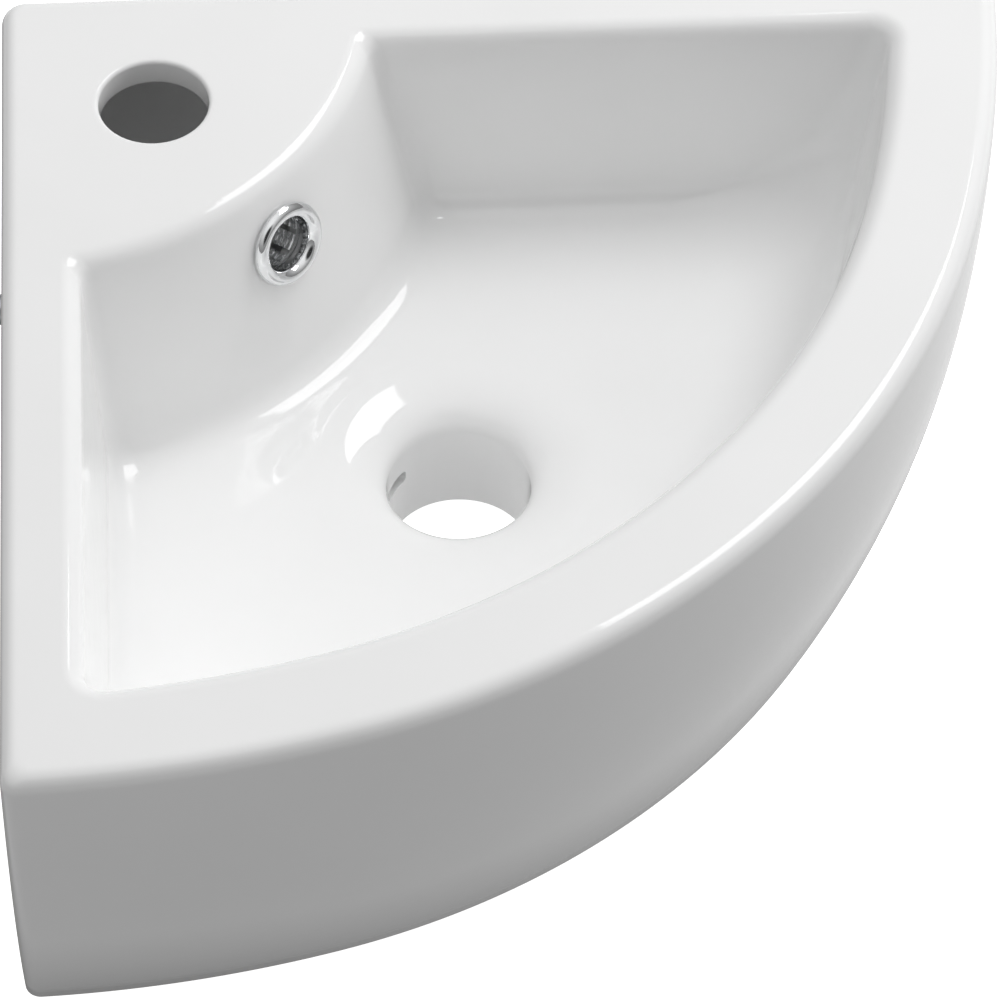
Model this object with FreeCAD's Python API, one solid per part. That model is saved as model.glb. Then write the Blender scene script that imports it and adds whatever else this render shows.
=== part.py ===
import FreeCAD, Part
import math
import os
from FreeCAD import Vector

# Corner wash basin that hangs on the two walls of a room's corner.
# Millimetres. The origin is the room's corner at the height of the rim, +Z is up,
# the left wall is the plane X = 0 and the back wall is the plane Y = 0.
# The basin fills X > 0, Y < 0 and is the same on both sides of the diagonal.

# ---- driving dimensions ----
SIDE = 320.0                # length of the basin along each wall
HEIGHT = 140.0              # rim to foot
WALL = 9.0                  # thickness of the fired clay in apron, walls and bowl
DECK = 10.0                 # thickness of the deck round the tap hole

FRONT_RADIUS = 283.7        # middle arc of the front, seen from above
FRONT_CENTRE = 31.5         # its centre's distance from each wall
FRONT_HALF_ANGLE = 30.3     # half of the middle arc
RIM_EDGE = 9.0              # rounding of the rim's front edge
APRON_SWEEP = 357.0         # radius of the apron's curve from the rim down to the foot
WALL_EDGE = 5.0             # rounding of the edges along the walls and at both ends
CORNER_EDGE = 8.0           # rounding of the upright edge in the room's corner
GROUND_OFF = 0.1            # ground off both back faces after firing, to make them flat

BOWL_DEPTH = 74.0           # rim to bowl floor
BOWL_EDGE = 4.0             # rounding of the bowl's mouth
BOWL_LEDGE = 22.0           # rim's width along the walls
BOWL_RIM = 33.6             # rim's width along the front
PLATFORM = 119.0            # radius of the tap platform's edge about the room's corner
# lean of each bowl wall, and the reach and rise of the curve from it into the floor
LEDGE_LEAN, LEDGE_REACH, LEDGE_RISE = 0.16, 9.0, 9.0
PLATFORM_LEAN, PLATFORM_REACH, PLATFORM_RISE = 0.25, 10.0, 10.0
FRONT_LEAN, FRONT_REACH, FRONT_RISE = 0.20, 34.0, 30.0
# rounded upright corners of the bowl, at the rim and at the floor
PLATFORM_CORNER, PLATFORM_CORNER_LOW = 5.0, 9.0
FRONT_CORNER, FRONT_CORNER_LOW = 12.0, 32.0
FRONT_CORNER_GROWS = 20.0   # the front corners keep their radius down to this depth

TAP_PLACE = 48.3            # tap hole's distance from each wall
TAP_RADIUS = 17.5
TAP_EDGE = 1.0
WASTE_PLACE = 140.5         # waste hole's distance from each wall
WASTE_RADIUS = 23.0
WASTE_FUNNEL = 22.0         # rounding from the bowl floor into the waste hole
WASTE_BOSS = 35.0           # radius of the boss under the waste hole
WASTE_BOTTOM = 120.0        # depth of the boss's flat underside

OVERFLOW_DEPTH = 23.5       # overflow hole's centre below the rim
OVERFLOW_HOLE = 11.0        # its radius
DUCT_FRONT = 9.5            # the hidden duct lies between these two distances
DUCT_BACK = 18.5            # behind the platform's wall
DUCT_WIDTH = 28.0
DUCT_WALL = 7.0
DUCT_TOP = 12.0
DUCT_ROOF = 89.0            # its level run under the bowl floor
DUCT_FLOOR = 100.0
DUCT_END = 27.0             # the level run stops this far from the waste hole's centre
OUTLET_TURN = 15.0          # the outlet is cut from there into the waste hole, off the diagonal
OUTLET_WIDTH = 12.0
OUTLET_HEIGHT = 5.0

RING_RADIUS = 14.0          # chrome overflow ring
RING_BEAD = 2.3             # radius of its rolled rim
RING_THROAT = 8.0
RING_SLEEVE = 10.7          # outer radius of its sleeve, 0.3 clear of the hole
RING_SKIN = 1.2
RING_LENGTH = 14.0
RING_FINGERS = 8            # the sleeve is slit into this many spring fingers
RING_SLIT = 2.2
RING_COLLAR = 5.0           # part of the sleeve that isn't slit
RING_SEAT = 0.1             # the bead stands this far off the curved wall

FIXING_PLACE = 85.0         # wall fixing's distance from the room's corner
FIXING_DEPTH = 55.0         # and below the rim
FIXING_HOLE = 9.0           # radius of the hole in the clay
BUSH_SLEEVE = 8.9
BUSH_BORE = 5.2
BUSH_FLANGE = 13.0
BUSH_FLANGE_THICK = 3.0
WASHER_RADIUS = 10.5
WASHER_THICK = 2.0
NUT_ACROSS = 17.0
NUT_THICK = 8.0
SCREW_RADIUS = 5.0          # the bolt's end in the room's wall
SCREW_LENGTH = 60.0
SCREW_TIP = 8.0
THREAD_RADIUS = 4.5         # the bolt's end in the basin, at its thread's pitch line
THREAD_LENGTH = 32.0

UP = Vector(0, 0, 1)
CORNER = Vector(0, 0, 0)


def mirrored(point):
    """The same point on the other side of the basin's diagonal."""
    return Vector(-point.y, -point.x, point.z)


def mirrored_shape(shape):
    return shape.mirror(CORNER, Vector(1, 1, 0))


def front_plan():
    """Centres and radii of the front's arcs: a middle arc between two flatter ones.

    The side arcs are tangent to the middle arc and end at SIDE on each wall.
    """
    turn = math.radians(FRONT_HALF_ANGLE - 45)
    joint = Vector(math.cos(turn), math.sin(turn), 0)
    middle = Vector(FRONT_CENTRE, -FRONT_CENTRE, 0)
    to_end = Vector(SIDE, 0, 0) - middle
    step = (FRONT_RADIUS**2 - to_end.Length**2) / (2 * (FRONT_RADIUS - to_end.dot(joint)))
    return middle, middle + joint * step, FRONT_RADIUS - step, joint


MIDDLE, SIDE_CENTRE, SIDE_RADIUS, JOINT = front_plan()


def arc(centre, radius, start, end, z):
    """Arc from start to end about a centre, the short way round, at height z."""
    half_way = (start - centre).normalize() + (end - centre).normalize()
    crest = centre + half_way.normalize() * radius
    points = [Vector(p.x, p.y, z) for p in (start, crest, end)]
    return Part.Arc(*points).toShape()


def line(start, end, z):
    return Part.makeLine(Vector(start.x, start.y, z), Vector(end.x, end.y, z))


def polygon(points):
    return Part.Face(Part.makePolygon(points + points[:1]))


def loft(sections):
    return Part.makeLoft(sections, True, True)


def rounding_depths(radius, steps):
    """Depths at even turns down a quarter-round edge."""
    return [radius * (1 - math.cos(math.pi / 2 * step / steps)) for step in range(steps + 1)]


def quarter_round(radius, depth):
    """How far a quarter-round edge still lies inside its upright face at a depth."""
    into = radius - min(radius, max(0.0, depth))
    return radius - math.sqrt(radius**2 - into**2)


def front_outline(ledge, inset, corner, wall_start, z):
    """The front of an outline: along the back wall, round the far corner, then the front's arcs.

    The outline keeps a ledge off the walls and an inset off the front. It starts at wall_start
    on the back wall and ends at the mirrored point on the left wall.
    """
    radius = SIDE_RADIUS - inset
    y = -(ledge + corner)
    reach = math.sqrt((radius - corner)**2 - (y - SIDE_CENTRE.y)**2)
    far = Vector(SIDE_CENTRE.x + reach, y, 0)
    wall_end = Vector(far.x, -ledge, 0)
    on_front = SIDE_CENTRE + (far - SIDE_CENTRE).normalize() * radius
    joint = SIDE_CENTRE + JOINT * radius
    return [line(wall_start, wall_end, z),
            arc(far, corner, wall_end, on_front, z),
            arc(SIDE_CENTRE, radius, on_front, joint, z),
            arc(MIDDLE, FRONT_RADIUS - inset, joint, mirrored(joint), z),
            arc(mirrored(SIDE_CENTRE), radius, mirrored(joint), mirrored(on_front), z),
            arc(mirrored(far), corner, mirrored(on_front), mirrored(wall_end), z),
            line(mirrored(wall_end), mirrored(wall_start), z)]


def apron_pull(depth):
    """How far the apron has swept inwards at a depth."""
    fall = max(0.0, depth - RIM_EDGE)
    return APRON_SWEEP - math.sqrt(APRON_SWEEP**2 - fall**2)


def outer_section(depth, skin):
    """Outline of the basin's outside at a depth. Skin moves it inwards by the clay's thickness."""
    on_wall = skin if skin else quarter_round(WALL_EDGE, depth) - GROUND_OFF
    on_front = skin + apron_pull(depth) + (0.0 if skin else quarter_round(RIM_EDGE, depth))
    room = Vector(skin + CORNER_EDGE, -skin - CORNER_EDGE, 0)
    wall_start = Vector(room.x, -on_wall, 0)
    radius = room.x - on_wall
    return Part.Wire(front_outline(on_wall, on_front, WALL_EDGE, wall_start, -depth)
                     + [arc(room, radius, mirrored(wall_start), wall_start, -depth)])


def outer_block(skin, top):
    """Everything inside the walls and the apron below a depth, lofted down through its sections."""
    apron_steps = 5
    depths = [top] if skin else rounding_depths(RIM_EDGE, 4)
    start = depths[-1]
    depths += [start + (HEIGHT - start) * step / apron_steps for step in range(1, apron_steps + 1)]
    block = loft([outer_section(depth, skin) for depth in depths])
    room = Part.makeBox(2 * SIDE, 2 * SIDE, 2 * HEIGHT, Vector(0, -2 * SIDE, -1.5 * HEIGHT))
    return block.common(room).removeSplitter()


def wall_spread(depth, lean, reach, rise):
    """How far a bowl wall has come in at a depth: a straight lean, then a curve into the floor."""
    straight = BOWL_DEPTH - rise
    if depth <= straight:
        return lean * depth
    way = (depth - straight) / rise
    curve = reach * (1 - math.sqrt(max(0.0, 1 - way**2)))
    return lean * straight + lean * (depth - straight) * (1 - way) + curve


def bowl_section(depth, skin):
    """Outline of the bowl at a depth. Skin grows it by the thickness of the clay."""
    out = skin if skin else quarter_round(BOWL_EDGE, depth)
    ledge = BOWL_LEDGE + wall_spread(depth, LEDGE_LEAN, LEDGE_REACH, LEDGE_RISE) - out
    platform = PLATFORM + wall_spread(depth, PLATFORM_LEAN, PLATFORM_REACH, PLATFORM_RISE) - out
    inset = BOWL_RIM + wall_spread(depth, FRONT_LEAN, FRONT_REACH, FRONT_RISE) - out
    share = max(0.0, depth) / BOWL_DEPTH
    corner = PLATFORM_CORNER + (PLATFORM_CORNER_LOW - PLATFORM_CORNER) * share
    share = max(0.0, (depth - FRONT_CORNER_GROWS) / (BOWL_DEPTH - FRONT_CORNER_GROWS))
    front_corner = FRONT_CORNER + (FRONT_CORNER_LOW - FRONT_CORNER) * share**2 + skin
    z = -depth - (skin if depth > 0 else 0.0)

    y = -(ledge + corner)
    near = Vector(math.sqrt((platform + corner)**2 - y**2), y, 0)
    on_platform = near * (platform / (platform + corner))
    wall_start = Vector(near.x, -ledge, 0)
    return Part.Wire([arc(CORNER, platform, mirrored(on_platform), on_platform, z),
                      arc(near, corner, on_platform, wall_start, z)]
                     + front_outline(ledge, inset, front_corner, wall_start, z)
                     + [arc(mirrored(near), corner, mirrored(wall_start), mirrored(on_platform), z)])


def bowl_block(skin):
    """The bowl's hollow, or with a skin the clay shell round it, lofted down through its sections."""
    if skin:
        depths = [BOWL_DEPTH * share for share in (0.0, 0.58, 0.85, 1.0)]
    else:
        shares = (0.59, 0.72, 0.83, 0.91, 0.965, 1.0)
        depths = rounding_depths(BOWL_EDGE, 3) + [BOWL_DEPTH * share for share in shares]
    return loft([bowl_section(depth, skin) for depth in depths])


def on_diagonal(shape):
    """Turns a shape drawn in the XZ plane into the basin's diagonal plane."""
    shape.rotate(CORNER, UP, -45)
    return shape


def slab(points, width):
    """Prism over a section drawn in the basin's diagonal plane, centred on that plane."""
    face = polygon([Vector(x, -width / 2, z) for x, z in points])
    return on_diagonal(face.extrude(Vector(0, width, 0)))


def behind_platform(distance, z):
    """A point this far behind the tap platform's leaning wall, at height z."""
    return (PLATFORM - PLATFORM_LEAN * z - distance, z)


def duct_hollow():
    """Water's way from the overflow hole: down behind the platform wall, then under the floor."""
    end = math.sqrt(2) * WASTE_PLACE - DUCT_END
    return slab([behind_platform(DUCT_FRONT, -DUCT_TOP), behind_platform(DUCT_FRONT, -DUCT_ROOF),
                 (end, -DUCT_ROOF), (end, -DUCT_FLOOR),
                 behind_platform(DUCT_BACK, -DUCT_FLOOR), behind_platform(DUCT_BACK, -DUCT_TOP)],
                DUCT_WIDTH)


def duct_outlet():
    """The slot from the end of that way into the waste hole."""
    near, far = WASTE_RADIUS - 5.0, DUCT_END + 3.0
    slot = Part.makeBox(far - near, OUTLET_WIDTH, OUTLET_HEIGHT,
                        Vector(near, -OUTLET_WIDTH / 2, -DUCT_FLOOR))
    slot.rotate(CORNER, UP, 135 + OUTLET_TURN)
    slot.translate(Vector(WASTE_PLACE, -WASTE_PLACE, 0))
    return slot


def duct_casing():
    """The clay round that way, which shows as a rib under the basin."""
    front = WALL / 2
    back = DUCT_BACK + DUCT_WALL
    in_deck = -DECK / 2
    in_floor = -BOWL_DEPTH - WALL / 2
    under = -DUCT_FLOOR - DUCT_WALL
    end = math.sqrt(2) * WASTE_PLACE - DUCT_END
    return slab([behind_platform(front, in_deck), behind_platform(front, in_floor), (end, in_floor),
                 (end, under), behind_platform(back, under), behind_platform(back, in_deck)],
                DUCT_WIDTH + 2 * DUCT_WALL)


def waste_hollow():
    """The waste hole and the rounding that leads into it from the bowl floor."""
    bands = 4
    below_floor = 0.3
    over = 2.0
    profile = [Vector(0, 0, over), Vector(WASTE_RADIUS + WASTE_FUNNEL + over, 0, over)]
    for step in range(bands + 1):
        turn = math.pi / 2 * step / bands
        profile.append(Vector(WASTE_RADIUS + WASTE_FUNNEL * (1 - math.sin(turn)), 0,
                              -below_floor - WASTE_FUNNEL * (1 - math.cos(turn))))
    profile += [Vector(WASTE_RADIUS, 0, -WASTE_BOTTOM), Vector(0, 0, -WASTE_BOTTOM)]
    hollow = polygon(profile).revolve(CORNER, UP, 360)
    hollow.translate(Vector(WASTE_PLACE, -WASTE_PLACE, -BOWL_DEPTH))
    return hollow


def overflow_axis():
    """Centre of the overflow hole on the platform's wall, and the direction square to that wall."""
    reach, z = behind_platform(0, -OVERFLOW_DEPTH)
    tilt = math.atan(PLATFORM_LEAN)
    side = math.sqrt(0.5)
    centre = Vector(reach * side, -reach * side, z)
    out = Vector(math.cos(tilt) * side, -math.cos(tilt) * side, math.sin(tilt))
    return centre, out


def basin_body():
    """One casting of glazed clay, open underneath: apron, wall faces, rim, deck, bowl and duct."""
    boss = Part.makeCylinder(WASTE_BOSS, WASTE_BOTTOM - BOWL_DEPTH,
                             Vector(WASTE_PLACE, -WASTE_PLACE, -WASTE_BOTTOM))
    under = outer_block(WALL, DECK).cut([bowl_block(WALL), duct_casing(), boss])
    body = outer_block(0.0, 0.0).cut(bowl_block(0.0)).cut(under)

    tap_foot = Vector(TAP_PLACE, -TAP_PLACE, -DECK - TAP_EDGE)
    tap_hole = Part.makeCylinder(TAP_RADIUS, DECK + TAP_EDGE, tap_foot)
    tap_mouth = Part.makeCone(TAP_RADIUS, TAP_RADIUS + 2 * TAP_EDGE, 2 * TAP_EDGE,
                              Vector(TAP_PLACE, -TAP_PLACE, -TAP_EDGE))
    centre, out = overflow_axis()
    into_duct = 14.0
    overflow = Part.makeCylinder(OVERFLOW_HOLE, 22.0, centre - out * into_duct, out)
    fixing = Part.makeCylinder(FIXING_HOLE, 3 * WALL, Vector(-WALL, -FIXING_PLACE, -FIXING_DEPTH),
                               Vector(1, 0, 0))
    return body.cut([tap_hole, tap_mouth, waste_hollow(), duct_hollow(), duct_outlet(), overflow,
                     fixing, mirrored_shape(fixing)])


def overflow_ring():
    """Chromed push-in ring: rolled rim, cone down to the throat and a sleeve of spring fingers."""
    bead = RING_RADIUS - RING_BEAD
    inner = RING_SLEEVE - RING_SKIN
    bands = 4
    profile = [Vector(RING_SLEEVE, 0, 0)]
    for step in range(bands + 1):
        turn = math.pi * step / bands
        profile.append(Vector(bead + RING_BEAD * math.sin(turn), 0, RING_BEAD * (1 - math.cos(turn))))
    profile += [Vector(RING_THROAT, 0, 0.4), Vector(RING_THROAT, 0, -2.5), Vector(inner, 0, -4.0),
                Vector(inner, 0, -RING_LENGTH), Vector(RING_SLEEVE, 0, -RING_LENGTH)]
    ring = polygon(profile).revolve(CORNER, UP, 360)
    slits = []
    for number in range(RING_FINGERS):
        slit = Part.makeBox(2 * RING_SLEEVE, RING_SLIT, RING_LENGTH,
                            Vector(0, -RING_SLIT / 2, -RING_LENGTH - RING_COLLAR))
        slit.rotate(CORNER, UP, 360.0 * number / RING_FINGERS)
        slits.append(slit)
    ring = ring.cut(slits)
    centre, out = overflow_axis()
    ring.Placement = FreeCAD.Placement(centre + out * RING_SEAT, FreeCAD.Rotation(UP, out))
    return ring


def on_left_wall(shape, start):
    """Stands a piece that was made along Z into the left wall's fixing hole."""
    shape.rotate(CORNER, Vector(0, 1, 0), 90)
    shape.translate(Vector(start, -FIXING_PLACE, -FIXING_DEPTH))
    return shape


def fixing_bush():
    """Plastic flanged bush that keeps the steel off the clay."""
    sleeve = Part.makeCylinder(BUSH_SLEEVE, WALL)
    flange = Part.makeCylinder(BUSH_FLANGE, BUSH_FLANGE_THICK, UP * WALL)
    bore = Part.makeCylinder(BUSH_BORE, WALL + BUSH_FLANGE_THICK)
    return on_left_wall(sleeve.fuse(flange).cut(bore).removeSplitter(), 0)


def fixing_washer():
    washer = Part.makeCylinder(WASHER_RADIUS, WASHER_THICK)
    bore = Part.makeCylinder(BUSH_BORE, WASHER_THICK)
    return on_left_wall(washer.cut(bore), WALL + BUSH_FLANGE_THICK)


def fixing_nut():
    corner = NUT_ACROSS / math.sqrt(3)
    turns = [math.radians(60 * side) for side in range(6)]
    nut = polygon([Vector(corner * math.cos(turn), corner * math.sin(turn), 0) for turn in turns])
    nut = nut.extrude(UP * NUT_THICK)
    bore = Part.makeCylinder(THREAD_RADIUS, NUT_THICK)
    return on_left_wall(nut.cut(bore), WALL + BUSH_FLANGE_THICK + WASHER_THICK)


def hanger_bolt():
    """Headless bolt: a pointed screw end for the wall plug and a threaded end for the nut."""
    point = Part.makeCone(SCREW_RADIUS / 3, SCREW_RADIUS, SCREW_TIP)
    screw = Part.makeCylinder(SCREW_RADIUS, SCREW_LENGTH - SCREW_TIP, UP * SCREW_TIP)
    thread = Part.makeCylinder(THREAD_RADIUS, THREAD_LENGTH, UP * SCREW_LENGTH)
    return on_left_wall(point.fuse([screw, thread]), -SCREW_LENGTH)


def write(name, shape):
    solids = shape.Solids
    good = len(solids) == 1 and solids[0].isValid()
    print(name, len(solids), "solid,", "valid" if good else "NOT VALID,", round(shape.Volume / 1000, 1), "cm3")
    solids[0].exportStep("parts/" + name + ".step")


os.makedirs("parts", exist_ok=True)
write("basin_body", basin_body())
write("overflow_ring", overflow_ring())
for piece, make in (("fixing_bush", fixing_bush), ("fixing_washer", fixing_washer),
                    ("fixing_nut", fixing_nut), ("hanger_bolt", hanger_bolt)):
    left_piece = make()
    write("left_" + piece, left_piece)
    write("back_" + piece, mirrored_shape(left_piece))
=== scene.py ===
import math

import bmesh
import bpy
from mathutils import Matrix, Vector


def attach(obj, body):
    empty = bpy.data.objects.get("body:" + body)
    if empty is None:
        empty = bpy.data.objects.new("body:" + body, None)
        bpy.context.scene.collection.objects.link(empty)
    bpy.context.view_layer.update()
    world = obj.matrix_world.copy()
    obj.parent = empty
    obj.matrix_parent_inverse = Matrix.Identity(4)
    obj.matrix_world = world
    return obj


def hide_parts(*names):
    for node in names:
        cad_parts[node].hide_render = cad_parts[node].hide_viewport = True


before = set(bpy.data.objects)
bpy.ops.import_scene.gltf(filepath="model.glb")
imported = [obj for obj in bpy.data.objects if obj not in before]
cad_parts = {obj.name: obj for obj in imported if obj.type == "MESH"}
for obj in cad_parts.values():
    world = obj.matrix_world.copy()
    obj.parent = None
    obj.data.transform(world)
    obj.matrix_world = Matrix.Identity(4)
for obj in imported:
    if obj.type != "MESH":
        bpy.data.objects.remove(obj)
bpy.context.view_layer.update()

# ---------------------------------------------------------------- the basin
# One casting of vitreous china under a white gloss glaze: rim, deck with its tap hole, tap
# platform, bowl, apron and boss. It is slip-cast in a plaster mould, so every edge is round. The
# two faces that hang against the walls are ground flat, and it is open underneath.
SIDE = 0.320
HEIGHT = 0.140
CLAY = 0.009
DECK = 0.010
FRONT_RADIUS = 0.2837
FRONT_CENTRE = 0.0315
FRONT_HALF_ANGLE = math.radians(30.3)
RIM_EDGE = 0.006
SWEEP_START = 0.009           # the apron runs straight down to here, then sweeps in
APRON_SWEEP = 0.357
WALL_EDGE = 0.005
CORNER_EDGE = 0.008
FOOT_EDGE = 0.003
INNER_EDGE = 0.0012
FLAT_MARGIN = 0.0008          # a flat face starts this far past the end of a rounding
DIAGONAL = Vector((math.sqrt(0.5), -math.sqrt(0.5)))


def mirrored(p):
    """The same point on the other side of the basin's diagonal."""
    return Vector((-p.y, -p.x))


def straight(start, end, steps):
    return [start.lerp(end, n / steps) for n in range(1, steps + 1)]


def sweep(centre, start, end, steps):
    """Points on the arc from start to end about a centre, without start itself."""
    radius = (start - centre).length
    first = math.atan2(start.y - centre.y, start.x - centre.x)
    last = math.atan2(end.y - centre.y, end.x - centre.x)
    turn = (last - first + math.pi) % (2 * math.pi) - math.pi
    angles = [first + turn * n / steps for n in range(1, steps + 1)]
    return [centre + radius * Vector((math.cos(a), math.sin(a))) for a in angles]


def front_plan():
    """Centres and radii of the front's arcs: a middle arc between two flatter ones."""
    turn = FRONT_HALF_ANGLE - math.radians(45)
    joint = Vector((math.cos(turn), math.sin(turn)))
    middle = Vector((FRONT_CENTRE, -FRONT_CENTRE))
    to_end = Vector((SIDE, 0)) - middle
    step = (FRONT_RADIUS**2 - to_end.length_squared) / (2 * (FRONT_RADIUS - to_end.dot(joint)))
    return middle, middle + joint * step, FRONT_RADIUS - step, joint


MIDDLE, SIDE_CENTRE, SIDE_RADIUS, JOINT = front_plan()


def front_half(on_wall, on_front, corner, start):
    """From start along the back wall, round the far corner and along the front to the diagonal."""
    radius = SIDE_RADIUS - on_front
    y = -(on_wall + corner)
    reach = math.sqrt((radius - corner)**2 - (y - SIDE_CENTRE.y)**2)
    far = Vector((SIDE_CENTRE.x + reach, y))
    wall_end = Vector((far.x, -on_wall))
    front_start = SIDE_CENTRE + (far - SIDE_CENTRE).normalized() * radius
    joint = SIDE_CENTRE + JOINT * radius
    tip = MIDDLE + DIAGONAL * (FRONT_RADIUS - on_front)
    return (straight(start, wall_end, 24) + sweep(far, wall_end, front_start, 14)
            + sweep(SIDE_CENTRE, front_start, joint, 18) + sweep(MIDDLE, joint, tip, 28))


def whole(half, height):
    """Closes half an outline over the diagonal, at a height."""
    points = half + [mirrored(p) for p in reversed(half[1:-1])]
    return [Vector((p.x, p.y, height)) for p in points]


def quarter_round(radius, depth):
    """How far a quarter-round edge still lies inside its upright face at a depth."""
    into = radius - min(radius, max(0.0, depth))
    return radius - math.sqrt(radius**2 - into**2)


def round_depths(radius, steps):
    return [radius * (1 - math.cos(math.pi / 2 * n / steps)) for n in range(steps + 1)]


def apron_pull(depth):
    """How far the apron has swept inwards at a depth."""
    fall = max(0.0, depth - SWEEP_START)
    return APRON_SWEEP - math.sqrt(APRON_SWEEP**2 - fall**2)


def outer_ring(on_wall, on_front, depth, skin=0.0):
    """Outline of the outside, or of the hollow behind it, at a depth."""
    room = Vector((skin + CORNER_EDGE, -skin - CORNER_EDGE))
    radius = room.x - skin - on_wall
    start = Vector((room.x, -skin - on_wall))
    tip = room - DIAGONAL * radius
    half = [tip] + sweep(room, tip, start, 8)
    return whole(half + front_half(skin + on_wall, skin + on_front, WALL_EDGE, start), -depth)


def outside_rings():
    """From the flat of the rim, over its edge, down the apron, round the foot and up inside."""
    rings = [outer_ring(WALL_EDGE + FLAT_MARGIN, RIM_EDGE + FLAT_MARGIN, 0)]
    for depth in round_depths(RIM_EDGE, 12):
        on_wall, on_front = quarter_round(WALL_EDGE, depth), quarter_round(RIM_EDGE, depth)
        rings.append(outer_ring(on_wall, on_front, depth))
    foot = HEIGHT - FOOT_EDGE
    for n in range(1, 17):
        depth = RIM_EDGE + (foot - RIM_EDGE) * n / 16
        rings.append(outer_ring(0, apron_pull(depth), depth))
    for rise in reversed(round_depths(FOOT_EDGE, 5)[:-1]):
        pull = quarter_round(FOOT_EDGE, rise)
        rings.append(outer_ring(pull, apron_pull(HEIGHT) + pull, HEIGHT - rise))
    for rise in round_depths(INNER_EDGE, 3):
        pull = -quarter_round(INNER_EDGE, rise)
        rings.append(outer_ring(pull, apron_pull(HEIGHT) + pull, HEIGHT - rise, CLAY))
    low, high = HEIGHT - INNER_EDGE, DECK + INNER_EDGE
    for n in range(1, 13):
        depth = low + (high - low) * n / 12
        rings.append(outer_ring(0, apron_pull(depth), depth, CLAY))
    for rise in round_depths(INNER_EDGE, 3)[-2::-1]:
        pull = quarter_round(INNER_EDGE, rise)
        rings.append(outer_ring(pull, pull, DECK + rise, CLAY))
    margin = INNER_EDGE + FLAT_MARGIN / 2
    rings.append(outer_ring(margin, margin, DECK, CLAY))
    return rings


BOWL_DEPTH = 0.074
BOWL_EDGE = 0.0055
BOWL_LEDGE = 0.0242
BOWL_RIM = 0.0341
PLATFORM = 0.119
# lean of each bowl wall, and the reach and rise of the curve from it into the floor
LEDGE_FALL = (0.08, 0.010, 0.008)
PLATFORM_FALL = (0.25, 0.0115, 0.008)
FRONT_FALL = (0.20, 0.034, 0.030)
PLATFORM_CORNER = (0.005, 0.009)
FRONT_CORNER = (0.007, 0.032)
FRONT_CORNER_GROWS = 0.004
FLOOR_FALL = 0.0003           # the floor runs down this much to the waste hole


def wall_spread(depth, fall):
    """How far a bowl wall has come in at a depth: a straight lean, then a curve into the floor."""
    lean, reach, rise = fall
    bend = BOWL_DEPTH - rise
    if depth <= bend:
        return lean * depth
    way = min(1.0, (depth - bend) / rise)
    curve = reach * (1 - math.sqrt(1 - way**2))
    return lean * bend + lean * (depth - bend) * (1 - way) + curve


def bowl_half(depth, out):
    """Half the bowl's outline at a depth, grown outwards."""
    ledge = BOWL_LEDGE + wall_spread(depth, LEDGE_FALL) - out
    platform = PLATFORM + wall_spread(depth, PLATFORM_FALL) - out
    inset = BOWL_RIM + wall_spread(depth, FRONT_FALL) - out
    share = max(0.0, depth) / BOWL_DEPTH
    corner = PLATFORM_CORNER[0] + (PLATFORM_CORNER[1] - PLATFORM_CORNER[0]) * share
    share = max(0.0, (depth - FRONT_CORNER_GROWS) / (BOWL_DEPTH - FRONT_CORNER_GROWS))
    front_corner = FRONT_CORNER[0] + (FRONT_CORNER[1] - FRONT_CORNER[0]) * share**2 + out
    y = -(ledge + corner)
    near = Vector((math.sqrt((platform + corner)**2 - y**2), y))
    tip = DIAGONAL * platform
    half = [tip] + sweep(Vector((0, 0)), tip, near.normalized() * platform, 32)
    half += sweep(near, half[-1], Vector((near.x, -ledge)), 12)
    return half + front_half(ledge, inset, front_corner, half[-1])


WASTE = Vector((0.1405, -0.1405))
WASTE_RADIUS = 0.023
FUNNEL_REACH = 0.023          # the floor starts to fall this far out from the waste hole
FUNNEL_FALL = 0.012
FUNNEL_BEND = 2.1             # power of the fall's curve: 2 is a quarter ellipse, more is softer
BOSS_RADIUS = 0.035
BOSS_BOTTOM = 0.120
BOSS_EDGE = 0.002
BOSS_FILLET = 0.007


def circle(like, centre, radius, height):
    """A ring of points round a centre, each at the bearing of its point in another ring."""
    bearings = [math.atan2(p.y - centre.y, p.x - centre.x) for p in like]
    return [Vector((centre.x + radius * math.cos(a), centre.y + radius * math.sin(a), height))
            for a in bearings]


def between(ring, other, share):
    return [p.lerp(q, share) for p, q in zip(ring, other)]


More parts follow.
